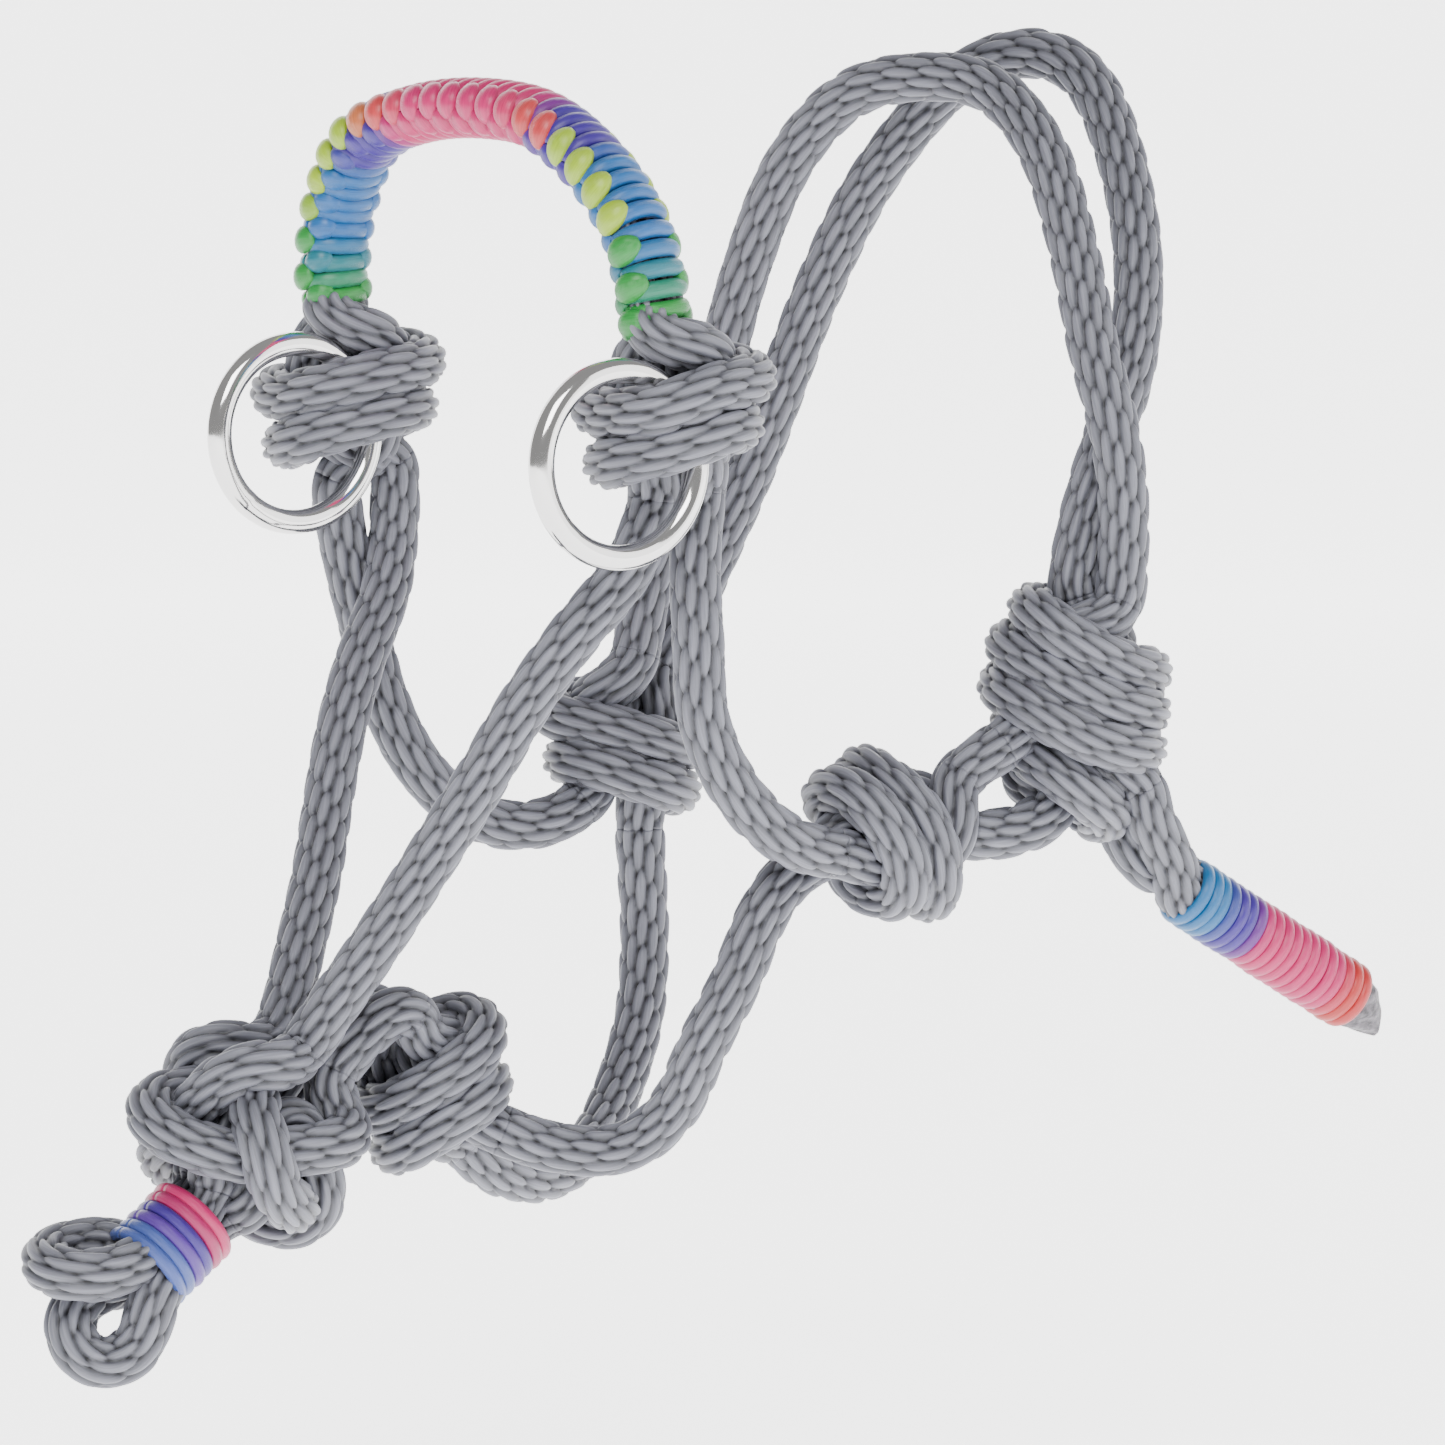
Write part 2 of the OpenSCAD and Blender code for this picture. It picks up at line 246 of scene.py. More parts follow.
def axes_of(along, bulge):
    """Three axes at right angles: along, bulge as near as can be, and the one across both."""
    a = unit(along)
    b = unit(np.asarray(bulge, float) - np.dot(bulge, a) * a)
    return np.stack([a, b, np.cross(a, b)])


# ---- Knots: each strand is laid nearly tight by formula, and settle() then moves strands off each other

def overhand_strand(strand, half, rounds=1):
    """One strand of a doubled overhand knot, in places along, in the bulge and across.
    It goes in at the top and down the middle, round the outside and down the middle again, and is given
    the other way round, from below to above."""
    deep, wide = half[1] - ROPE_R, half[2] - ROPE_R
    scale = half[0] / (4.3 + BAND_PITCH * rounds)
    level = (2.2 if strand == 0 else -5.0) - BAND_PITCH * (rounds - 1)

    def spot(turn, height, share=1.0):
        """A place at an angle round the knot, at a height, at a share of the way out."""
        t = math.radians(turn)
        return (scale * height, share * deep * math.cos(t), share * wide * math.sin(t))
    top, low = half[0] + 4.5, level - 6
    if strand:
        way_in = [(top, 0, -3), (top - 8, -4, -3), (0, -5, -3), (scale * low, -6, -3)]
    else:
        way_in = [(top, 0, 1), spot(0, top - 7, 0.6), spot(45, top - 7.5, 0.85), spot(95, top - 10, 0.85),
                  spot(150, 0, 0.6), (scale * low, -4, 0)]
    wrap = []
    for turn in range(-140, 360 * rounds - 189, BAND_STEP):
        sine = math.sin(math.radians(turn))
        rise = (4.5 if sine < 0 else 2.5) * sine
        wrap.append(spot(turn, level + rise + 2 * BAND_PITCH * turn / 360 * (rounds > 1)))
    side = -3.4 if strand else 3.4
    way_out = [spot(200, wrap[-1][0] / scale, 0.5), (0, 0, side), (8 - top, 0, side), (-top, 0, side)]
    return spline(way_in + wrap + way_out)[::-1]


def diamond_strand(strand):
    """One of the four strands of a diamond knot, from below to above: up the middle, then woven round it."""
    ring_r = 9.6
    half_h = 8.5
    weave = 3.4
    core_r = 4.4
    phase = math.radians(190 - 90 * strand)
    u = np.radians(np.linspace(110, 430, 60))
    theta = phase + (u - math.pi / 2) * 3 / 4
    r = ring_r + weave * np.sin(2 * u)
    around = np.stack([half_h * np.sin(u), r * np.cos(theta), r * np.sin(theta)], -1)

    def spot(level, radius, angle):
        """A place at a level, at a radius and an angle round the knot's middle line."""
        return [level, radius * math.cos(angle), radius * math.sin(angle)]
    start_angle = phase + math.radians(35)
    end_angle = theta[-1] - math.radians(20)
    lead_in = [spot(h, core_r, start_angle) for h in (-16, -11, -5, 1, 6)]
    lead_out = [spot(12, 8, end_angle), spot(16, core_r, end_angle)]
    return np.vstack([lead_in, around, lead_out])


def sheet_bend_strand(strand, half):
    """One strand of the crown's tie.
    Strands 0 and 2 are the crown ends, which wrap round strand 1, the bight."""
    if strand == 1:
        return spline([(-9, -1, 14), (-9, -2, 7), (-6, -4, 0), (0, -5, -4), (3, -4, 0), (1, -2, 6),
                       (-2, -1, 12)])
    return overhand_strand(strand // 2, half, rounds=2)


def near_pairs(points, strand_of, arc, contact):
    """The pairs of points that may come to touch soon. Neighbours along one strand are left out."""
    i, j = np.triu_indices(len(points), 1)
    near = np.sum((points[i] - points[j])**2, axis=1) < (contact + 3)**2
    i, j = i[near], j[near]
    apart = (strand_of[i] != strand_of[j]) | (np.abs(arc[i] - arc[j]) > 1.6 * contact)
    return i[apart], j[apart]


def push_apart(points, pairs, contact):
    """For each point, the mean push away from the points that are nearer than the contact distance."""
    i, j = pairs
    apart = points[i] - points[j]
    dist = np.sqrt(np.sum(apart**2, axis=1))
    touching = dist < contact
    i, j, apart, dist = i[touching], j[touching], apart[touching], dist[touching]
    push = apart * (0.5 * (contact - dist) / np.maximum(dist, 1e-6))[:, None]
    count = np.bincount(i, minlength=len(points)) + np.bincount(j, minlength=len(points))
    total = np.stack([np.bincount(i, push[:, k], len(points)) - np.bincount(j, push[:, k], len(points))
                      for k in range(3)], -1)
    return total / np.maximum(count, 1)[:, None]


def push_off_wire(points, wire, contact):
    """For each point, the push away from the nearest point of the wire, if it is nearer than contact."""
    apart = points[:, None] - wire[None]
    dist = np.linalg.norm(apart, axis=2)
    nearest = dist.argmin(1)
    d = dist[np.arange(len(points)), nearest]
    away = apart[np.arange(len(points)), nearest] / np.maximum(d, 1e-6)[:, None]
    return away * np.maximum(contact - d, 0)[:, None]


def settle(strands, ends, spacing, wire, tension, rounds, count=56):
    """Settles laid strands: each is drawn a little straighter between its ends, and strands that touch push
    each other apart. ends holds for each strand its two ends and outward directions."""
    points = np.vstack([resample(s, count) for s in strands])
    strand_of = np.repeat(np.arange(len(strands)), count)
    cut = [points[k * count:(k + 1) * count] for k in range(len(strands))]
    straight = 1.6
    for step in range(rounds):
        for p, ((start, start_out), (end, end_out)) in zip(cut, ends):
            p[1:-1] += tension * (0.5 * (p[:-2] + p[2:]) - p[1:-1])
            for k in range(2):
                p[k] = start - start_out * straight * k
                p[-1 - k] = end - end_out * straight * k
        if step % 10 == 0:
            arc = np.concatenate([lengths_along(p) for p in cut])
            pairs = near_pairs(points, strand_of, arc, spacing)
        for _ in range(2):
            move = push_apart(points, pairs, spacing)
            if wire is not None:
                move += push_off_wire(points, wire, spacing / 2 + WIRE_R - 0.3)
            size = np.linalg.norm(move, axis=1)
            points += move * np.minimum(1, 0.8 / np.maximum(size, 1e-9))[:, None]
    for p, ((start, start_out), (end, end_out)) in zip(cut, ends):
        p[0], p[1] = start, start - straight * start_out
        p[-1], p[-2] = end, end - straight * end_out
    return [smoothed(p, 2, 0.4) for p in cut]


def ring_centre(at):
    """The middle of a ring whose wire is held in its knot at this place."""
    return np.array(at) + RING_R * unit(RING_FROM_KNOT)


def ring_arc(at, share=0.36):
    """The stretch of a ring's wire that lies in its knot."""
    out = -unit(RING_FROM_KNOT)
    along = unit(RING_WIRE_ALONG)
    a = np.linspace(-1, 1, 33)[:, None] * share * math.pi
    return ring_centre(at) + RING_R * (np.cos(a) * out + np.sin(a) * along)


# ---- The rope: every stretch and knot in one long middle line

def in_order(name):
    """A run entry's piece name, and whether it is run backwards."""
    return name.lstrip("-"), name.startswith("-")


def route_of(piece):
    """The middle line of a stretch, from its first point to its last."""
    if piece.startswith("noseband_core"):
        side = -1 if piece.endswith("front") else 1
        band = spline(ROUTES["noseband"])
        band[:, 0] += side * CORE_APART
        return band[8:-8]
    return spline(ROUTES[piece])


def outside_knots(path, knots):
    """The part of a path that is clear of the knots at its ends."""
    keep = np.ones(len(path), bool)
    for name in knots:
        if name in KNOTS:
            centre = np.array(KNOTS[name]["at"])
            keep &= np.linalg.norm(path - centre, axis=1) > KNOTS[name]["reach"]
    first, last = np.flatnonzero(keep)[[0, -1]]
    return path[first:last + 1]


def neck_strand(slot):
    """A strand of the lead loop's neck, from the knot down to the loop, pressed into the whipping.
    slot is its angle where it leaves the whipping: 0 is the near side and 90 the back."""
    along = unit(LEAD_ALONG)
    back = np.cross(along, (0, 1, 0))
    points = []
    for share in np.linspace(0, 1, 8):
        angle = math.radians(slot - NECK_TWIST * (1 - share))
        sideways = NECK_SPREAD * (math.cos(angle) * np.array([0, -1, 0]) + math.sin(angle) * back)
        points.append(np.array(LEAD_PIVOT) + along * (share * (LEAD_WHIPPING_L + 3) - 4) + sideways)
    return np.array(points)


def tail_strand(piece):
    """A crown tail: its stretch inside the whipping, and its free stretch above."""
    along = unit(TAIL_ALONG)
    side = TAIL_SPREAD * np.cross(along, (0, -1, 0)) * (1 if piece.endswith("front") else -1)
    start = np.array(TAIL_START) + side
    inside = np.array([start + along * d for d in np.linspace(1, TAIL_WHIPPING_L, 10)])
    return inside, spline([*ROUTES[piece][:-1], inside[0]])


def run_parts():
    """The run as a list of [piece, path], with knots still to be tied (None)."""
    names = [in_order(n) for n in RUN]
    parts = []
    for i, (piece, backwards) in enumerate(names):
        if piece in KNOTS:
            parts.append([piece, None])
            continue
        way = -1 if backwards else 1
        if piece in NECK_SLOTS:
            start, end = [neck_strand(slot) for slot in NECK_SLOTS[piece][::way]]
            loop = spline([start[-1], *ROUTES[piece][1:-1][::way], end[-1]])
            parts += [["lead_loop_neck", start], [piece, loop], ["lead_loop_neck", end[::-1]]]
            continue
        if piece.startswith("crown_tail"):
            inside, tail = tail_strand(piece)
            tail = outside_knots(tail, ["tie_knot"])
            pair = [["tail_core", inside[::-1]], [piece, tail[::-1]]]
            parts += pair if backwards else [[piece, tail], ["tail_core", inside]]
            continue
        beside = [names[k][0] for k in (i - 1, i + 1) if 0 <= k < len(names)]
        parts.append([piece, outside_knots(route_of(piece), beside)[::way]])
    return parts


def laid_strands(knot, ends, axes, centre):
    """Every strand of a knot as laid, each run from the end where its rope comes in."""
    shape = knot["shape"]
    if shape == "overhand":
        local = [overhand_strand(k, knot["half"]) for k in range(2)]
    elif shape == "diamond":
        local = [diamond_strand(k) for k in range(4)]
    else:
        local = [sheet_bend_strand(k, knot["half"]) for k in range(3)]
    strands = [centre + path @ axes for path in local]
    for k, (start, end) in enumerate(ends):
        if np.dot(start[0] - end[0], axes[0]) > 0:
            strands[k] = strands[k][::-1]
    if shape == "overhand" and mismatch(strands[::-1], ends) < mismatch(strands, ends):
        strands = [b if np.dot(a[0] - b[0], a[0] - a[-1]) < 0.5 * np.sum((a[0] - a[-1])**2) else b[::-1]
                   for a, b in zip(strands, strands[::-1])]
    return strands


def mismatch(strands, ends):
    """How far the laid strands' ends are from where their ropes come in."""
    total = 0
    for path, (start, end) in zip(strands, ends):
        total += np.linalg.norm(path[0] - start[0]) + np.linalg.norm(path[-1] - end[0])
    return total


def tie_knots(parts):
    """Ties every knot between the stretches that run into it."""
    for name, knot in KNOTS.items():
        visits = [i for i, (piece, _) in enumerate(parts) if piece == name]
        ends = []
        for i in visits:
            before, after = parts[i - 1][1], parts[i + 1][1]
            ends.append(((before[-1], unit(before[-3] - before[-1])),
                         (after[0], unit(after[2] - after[0]))))
        axes = axes_of(knot["along"], knot["bulge"])
        axes[2] *= knot["hand"]
        wire = ring_arc(knot["ring"]) if "ring" in knot else None
        strands = laid_strands(knot, ends, axes, np.array(knot["at"], float))
        for i, path in zip(visits, settle(strands, ends, knot["spacing"], wire, **SETTLING)):
            parts[i][1] = path
    return parts


# ---- Meshes

def tube_faces(rings, around):
    """Quads between neighbouring rings, and a fan of triangles over each end."""
    k = np.arange(around)
    a = (np.arange(rings - 1)[:, None] * around + k).ravel()
    b = (np.arange(rings - 1)[:, None] * around + (k + 1) % around).ravel()
    quads = np.stack([a, b, b + around, a + around], -1)
    first, last = rings * around, rings * around + 1
    top = (rings - 1) * around
    fans = np.vstack([np.stack([np.full(around, first), (k + 1) % around, k], -1),
                      np.stack([np.full(around, last), top + k, top + (k + 1) % around], -1)])
    return quads, fans


def make_tubes(name, grids, values=None):
    """One mesh object of closed tubes. Each grid is rings x around x 3, in millimetres.
    values holds for each name a list with one array per grid, for the material to read."""
    points, corners, sizes, extra = [], [], [], {key: [] for key in (values or {})}
    base = 0
    for g, grid in enumerate(grids):
        rings, around = grid.shape[:2]
        quads, fans = tube_faces(rings, around)
        points += [grid.reshape(-1, 3), grid[0].mean(0)[None], grid[-1].mean(0)[None]]
        corners += [(quads + base).ravel(), (fans + base).ravel()]
        sizes += [np.full(len(quads), 4), np.full(len(fans), 3)]
        for key in extra:
            v = values[key][g].reshape(rings * around, -1)
            extra[key] += [v, v[:around].mean(0)[None], v[-around:].mean(0)[None]]
        base += rings * around + 2
    points = np.vstack(points) * MM
    corners, sizes = np.concatenate(corners), np.concatenate(sizes)
    mesh = bpy.data.meshes.new(name)
    mesh.vertices.add(len(points))
    mesh.vertices.foreach_set("co", points.astype(np.float32).ravel())
    mesh.loops.add(len(corners))
    mesh.loops.foreach_set("vertex_index", corners.astype(np.int32))
    mesh.polygons.add(len(sizes))
    mesh.polygons.foreach_set("loop_start", (np.cumsum(sizes) - sizes).astype(np.int32))
    mesh.polygons.foreach_set("loop_total", sizes.astype(np.int32))
    mesh.polygons.foreach_set("use_smooth", sizes == 4)
    mesh.update(calc_edges=True)
    for key, rows in extra.items():
        rows = np.vstack(rows).astype(np.float32)
        if rows.shape[1] == 1:
            mesh.attributes.new(key, "FLOAT", "POINT").data.foreach_set("value", rows.ravel())
        elif rows.shape[1] == 3:
            mesh.attributes.new(key, "FLOAT_VECTOR", "POINT").data.foreach_set("vector", rows.ravel())
        else:
            mesh.attributes.new(key, "FLOAT_COLOR", "POINT").data.foreach_set("color", rows.ravel())
    piece = bpy.data.objects.new(name, mesh)
    bpy.context.scene.collection.objects.link(piece)
    return piece


def carried_frames(path, first_side):
    """Two directions across the path at each point, carried along it without twisting."""
    t = headings(path)
    n = np.empty_like(path)
    side = np.asarray(first_side, float)
    for i in range(len(path)):
        side = side - np.dot(side, t[i]) * t[i]
        side /= np.linalg.norm(side)
        n[i] = side
    return n, np.cross(t, n)


def stitch_skin(s, columns_at):
    """Height (0 to 1) and tone of the solid braid's stitches, at lengths s and at places round the rope,
    in columns. Each column is a chain of leaf-shaped stitches, a third of a pitch from the one beside it."""
    height = np.zeros((len(s), len(columns_at)))
    tone = np.zeros_like(height)
    nearest = np.round(columns_at - 0.5)
    for step in (-1, 0, 1):
        column = nearest + step
        x = columns_at[None, :] - column[None, :] - 0.5
        along = s[:, None] / STITCH_PITCH + (column[None, :] % COLUMNS) / 3
        for k in (-1, 0, 1):
            row = np.round(along) + k
            y = (along - row) * 2 / STITCH_LAP
            lean = x - STITCH_LEAN * y
            half = STITCH_HALF_W * (1 - 0.55 * np.maximum(y, 0)**2) * (1 - 0.25 * np.minimum(y, 0)**2)
            inside = 1 - (lean / np.maximum(half, 0.05))**2 - y**4
            h = np.clip(inside, 0, 1)**STITCH_ROUNDING * (1 + 0.12 * y) * (inside > 0)
            better = h > height
            height = np.where(better, h, height)
            stitch = np.sin((column % COLUMNS) * 12.9898 + row * 78.233) * 43758.5453
            tone = np.where(better, stitch - np.floor(stitch), tone)
    return height, tone


def make_rope(parts):
    """The whole rope's skin in one go, cut into its pieces.
    Returns {piece: [(grid, height, tone, fibre), ...]} and the middle lines, {piece: [line, ...]}."""
    coarse_step = 1.0
    joined, cuts = [], [0.0]
    for piece, path in parts:
        fine = spline(path, 6) if len(path) < 80 else path
        fine = resample(fine, max(8, int(lengths_along(fine)[-1] / coarse_step)))
        joined.append(fine if not joined else fine[1:])
        cuts.append(cuts[-1] + len(joined[-1]))
    line = smoothed(np.vstack(joined), 6, 0.5)
    s = lengths_along(line)
    cut_s = [s[min(int(c), len(s)) - 1] if c else 0.0 for c in cuts]
    count = int(s[-1] / RING_STEP)
    at = np.linspace(0, s[-1], count)
    line = np.stack([np.interp(at, s, line[:, k]) for k in range(3)], -1)
    line = smoothed(line, 8, 0.5)
    radius = np.full(count, ROPE_R)
    for (piece, _), first, last in zip(parts, cut_s, cut_s[1:]):
        radius[(at >= first) & (at <= last)] = SQUEEZED_R.get(piece, ROPE_R)
    for _ in range(12):
        radius[1:-1] = 0.5 * radius[1:-1] + 0.25 * (radius[:-2] + radius[2:])
    side, across = carried_frames(line, (0, 1, 0))
    turn = np.arange(AROUND) / AROUND
    angle = 2 * math.pi * turn
    height, tone = stitch_skin(at, turn * COLUMNS)
    wobble = 1 + 0.012 * np.sin(at / 9.7)[:, None] * np.sin(angle * 2 + at[:, None] / 23)
    r = radius[:, None] * wobble * (1 + STITCH_DEPTH / ROPE_R * (height - 0.82))
    grid = (line[:, None] + r[..., None] * (np.cos(angle)[None, :, None] * side[:, None]
                                            + np.sin(angle)[None, :, None] * across[:, None]))
    fibre = np.stack([np.broadcast_to(turn * COLUMNS, height.shape),
                      np.broadcast_to(at[:, None] / STITCH_PITCH, height.shape), tone], -1)
    pieces, lines = {}, {}
    for (piece, _), first, last in zip(parts, cut_s, cut_s[1:]):
        i0 = int(round(first / s[-1] * (count - 1)))
        i1 = int(round(last / s[-1] * (count - 1))) + 1
        pieces.setdefault(piece, []).append((grid[i0:i1], height[i0:i1], tone[i0:i1], fibre[i0:i1]))
        lines.setdefault(piece, []).append(line[i0:i1])
    return pieces, lines


# ---- The woven noseband, the whippings, the rings and the melted tip

def linear(r, g, b):
    """A colour given as 0 to 255, as light."""
    c = np.array([r, g, b]) / 255
    return np.where(c <= 0.04045, c / 12.92, ((c + 0.055) / 1.055)**2.4)


GREEN = linear(38, 178, 70)
TEAL = linear(20, 150, 140)
BLUE = linear(34, 125, 205)
PURPLE = linear(78, 44, 178)
PINK = linear(250, 36, 130)
LIME = linear(200, 240, 40)
CORAL = linear(255, 78, 84)
VIOLET = linear(112, 60, 190)
PLUM = linear(120, 22, 100)
PERIWINKLE = linear(84, 112, 205)
CYAN = linear(20, 130, 200)
RED = linear(245, 60, 62)

# Dye along the noseband, from either knot (0) to the top (0.5), and along the whippings, from start to end
BAR_DYE = [(0.0, GREEN), (0.03, GREEN), (0.06, TEAL), (0.10, BLUE), (0.21, BLUE), (0.24, PURPLE),
           (0.32, PURPLE), (0.36, PINK), (0.5, PINK)]
BEAD_DYE = [(0.0, GREEN), (0.115, GREEN), (0.14, LIME), (0.27, LIME), (0.30, CORAL), (0.36, CORAL),
            (0.39, PINK), (0.5, PINK)]
TAIL_DYE = [(0.0, CYAN), (0.15, CYAN), (0.20, PURPLE), (0.33, PURPLE), (0.40, PINK), (0.82, PINK),
            (0.90, RED), (1, RED)]
LEAD_DYE = [(0.0, PINK), (0.22, PINK), (0.32, PLUM), (0.42, PURPLE), (0.60, VIOLET), (0.75, PERIWINKLE),
            (1, PERIWINKLE)]


def dye(stops, where):
    """The colour at a place along a dyed cord, with 1 for its alpha."""
    at = [stop for stop, _ in stops]
    light = [np.interp(where, at, [colour[k] for _, colour in stops]) for k in range(3)]
    return np.array([DYE_DEPTH * value for value in light] + [1.0])


def cord_tube(line, half_across, half_out, out, tint, turns=14):
    """A short length of cord along line. half_out is its half thickness along the directions out, and
    half_across the other way. Returns its grid, colours and fibre coordinates."""
    t = headings(line)
    out = out - np.sum(out * t, axis=1)[:, None] * t
    out /= np.linalg.norm(out, axis=1)[:, None]
    across = np.cross(t, out)
    a = np.arange(turns) / turns * 2 * math.pi
    grid = (line[:, None] + np.asarray(half_out).reshape(-1, 1, 1) * np.cos(a)[None, :, None] * out[:, None]
            + np.asarray(half_across).reshape(-1, 1, 1) * np.sin(a)[None, :, None] * across[:, None])
    s = lengths_along(line)
    shape = grid.shape[:2]
    fibre = np.stack([np.broadcast_to(a * 1.5, shape), np.broadcast_to(s[:, None] * 0.25, shape),
                      np.full(shape, RNG.random() * 9)], -1)
    return grid, np.broadcast_to(tint, shape + (4,)), fibre


def make_weave():
    """The cobra weave round the noseband: bars across both faces, and beads of cord over both edges."""
    bar_step = 2.85
    bead_step = 5.35
    half_w = 4.5
    half_t = 3.6
    band = resample(spline(ROUTES["noseband"][1:-1], 12), 600)
    s = lengths_along(band)
    t = headings(band)
    front = np.array([-1.0, 0, 0]) - t * (t @ np.array([-1.0, 0, 0]))[:, None]
    front /= np.linalg.norm(front, axis=1)[:, None]
    outer = np.cross(t, front)
    tubes = []

    def at(where):
        """The band's middle, and its directions along, to the front and outwards, at a length along it."""
        i = int(np.clip(where / s[-1] * 599, 0, 599))
        return band[i], t[i], front[i], outer[i]

    def share(where):
        """How far a place is from the nearer end, as a share of the band."""
        f = where / s[-1]
        return min(f, 1 - f)

    phi = np.radians(np.arange(0, 361, 9.0))
    for where in np.arange(1.0, s[-1] - 0.6, bar_step):
        p, along, f, o = at(where)
        radial = np.cos(phi)[:, None] * f / half_w + np.sin(phi)[:, None] * o / half_t
        line = p + half_w * np.cos(phi)[:, None] * f + half_t * np.sin(phi)[:, None] * o
        line = line + 0.35 * np.sin(phi)[:, None] * along
        tubes.append(cord_tube(line, 1.47, 1.32, radial, dye(BAR_DYE, share(where))))
    for side in (1, -1):
        for lift, spread, half_along, dyes, offset, proud in (
                (16, 38, 2.35, BEAD_DYE, 0.0, 1.0 if side > 0 else 0.2),
                (-30, 30, 2.0, BAR_DYE, 0.5, 0.45)):
            for where in np.arange(2.6 + offset * bead_step, s[-1] - 2.0, bead_step):
                p, along, f, o = at(where)
                a = np.radians(np.linspace(lift - spread, lift + spread, 17))
                swell = np.sqrt(np.clip(np.cos(np.linspace(-1.45, 1.45, 17)), 0.02, 1))
                out = side * np.cos(a)[:, None] * f / half_w + np.sin(a)[:, None] * o / half_t
                line = (p + (half_w + proud) * side * np.cos(a)[:, None] * f
                        + (half_t + proud) * np.sin(a)[:, None] * o)
                line = line + np.linspace(-0.7, 0.7, 17)[:, None] * along
                tint = dye(dyes, share(where))
                tubes.append(cord_tube(line, half_along * swell, 1.5 * swell, out, tint, 18))
    grids, tints, fibres = zip(*tubes)
    return make_tubes("noseband_weave_cord", grids, {"tint": tints, "fibre": fibres})


def make_whipping(name, start, along, outer_d, length, stops):
    """Cord wound tightly round the rope, one slightly domed turn beside the other."""
    cord_r = 1.08
    wraps = int(round(length / (2 * cord_r)))
    axes = axes_of(along, (0, 0, 1))
    start = np.array(start, float)
    tubes = []
    phi = np.radians(np.arange(0, 361, 6.0))
    for k in range(wraps):
        level = (k + 0.5) * length / wraps
        r = outer_d / 2 - cord_r + RNG.uniform(-0.12, 0.08)
        lean = RNG.uniform(-0.12, 0.12)
        ripple = 0.05 * np.sin(3 * phi + k)
        line = (start + (level + lean * np.cos(phi + k))[:, None] * axes[0]
                + (r + ripple)[:, None] * (np.cos(phi)[:, None] * axes[1] + np.sin(phi)[:, None] * axes[2]))
        out = np.cos(phi)[:, None] * axes[1] + np.sin(phi)[:, None] * axes[2]
        tubes.append(cord_tube(line, cord_r * 1.04, cord_r * 0.9, out, dye(stops, (k + 0.5) / wraps)))
    grids, tints, fibres = zip(*tubes)
    return make_tubes(name, grids, {"tint": tints, "fibre": fibres})


def make_ring(name, at):
    """A welded ring of polished wire, with the slight swelling of its weld."""
    phi = np.linspace(0, 2 * math.pi, 193)
    a = np.arange(40) / 40 * 2 * math.pi
    centre = ring_centre(at)
    out = np.stack([np.cos(phi), np.zeros_like(phi), np.sin(phi)], -1)
    weld = 1 + 0.02 * np.exp(-((phi - 4.0) / 0.05)**2)
    grid = (centre + RING_R * out[:, None] + WIRE_R * weld[:, None, None]
            * (np.cos(a)[None, :, None] * out[:, None] + np.sin(a)[None, :, None] * np.array([0, 1.0, 0])))
    return make_closed_ring(name, grid[:-1])


def make_closed_ring(name, grid):
    """A mesh object of one tube that runs back into itself."""
    rings, around = grid.shape[:2]
    k = np.arange(rings * around).reshape(rings, around)
    faces = np.stack([k, np.roll(k, -1, 1), np.roll(np.roll(k, -1, 1), -1, 0), np.roll(k, -1, 0)], -1)
    mesh = bpy.data.meshes.new(name)
    mesh.from_pydata((grid.reshape(-1, 3) * MM).tolist(), [], faces.reshape(-1, 4).tolist())
    mesh.shade_smooth()
    piece = bpy.data.objects.new(name, mesh)
    bpy.context.scene.collection.objects.link(piece)
    return piece


def make_tip():
    """The two rope ends, melted together and pinched to a slanting wedge."""
    axes = axes_of(TAIL_ALONG, (0.49, 0, 0.87))
    start = np.array(TAIL_START) + TAIL_WHIPPING_L * axes[0]
    levels = np.linspace(-1.5, 6.0, 26)
    a = np.arange(64) / 64 * 2 * math.pi
    rings = []
    for level in levels:
        x = np.clip(level / 6.0, 0, 1)
        half_up = 4.7 * (1 - 0.25 * x**2)
        half_side = 4.7 * (1 - 0.62 * x**1.3)
        lump = 1 + 0.05 * np.sin(3 * a + 2 * x) + 0.035 * np.sin(7 * a - 5 * x) + 0.10 * x * np.cos(2 * a)
        slant = level - 2.2 * x * np.sin(a) * x
        rings.append(start + slant[:, None] * axes[0] + (half_up * lump * np.sin(a))[:, None] * axes[1]
                     + (half_side * lump * np.cos(a))[:, None] * axes[2])
    return make_tubes("melted_tip", [np.array(rings)])


# ---- Materials

def new_material(name, colour, roughness, metallic=0.0):
    """A plain material, with its nodes, links and shader."""
    material = bpy.data.materials.new(name)
    material.use_nodes = True
    nodes = material.node_tree.nodes
    shader = nodes["Principled BSDF"]
    shader.inputs["Base Color"].default_value = (*colour, 1)
    shader.inputs["Roughness"].default_value = roughness
    shader.inputs["Metallic"].default_value = metallic
    return material, nodes, material.node_tree.links, shader


def attribute(nodes, name):
    """A node that reads a mesh attribute."""
    node = nodes.new("ShaderNodeAttribute")
    node.attribute_name = name
    return node


def fibre_noise(nodes, links, across, along):
    """Fine streaks that run with the fibres."""
    stretch = nodes.new("ShaderNodeVectorMath")
    stretch.operation = "MULTIPLY"
    stretch.inputs[1].default_value = (across, along, 7)
    links.new(attribute(nodes, "fibre").outputs["Vector"], stretch.inputs[0])
    noise = nodes.new("ShaderNodeTexNoise")
    noise.inputs["Scale"].default_value = 1.0
    noise.inputs["Detail"].default_value = 3.0
    links.new(stretch.outputs[0], noise.inputs["Vector"])
    return noise.outputs["Fac"]


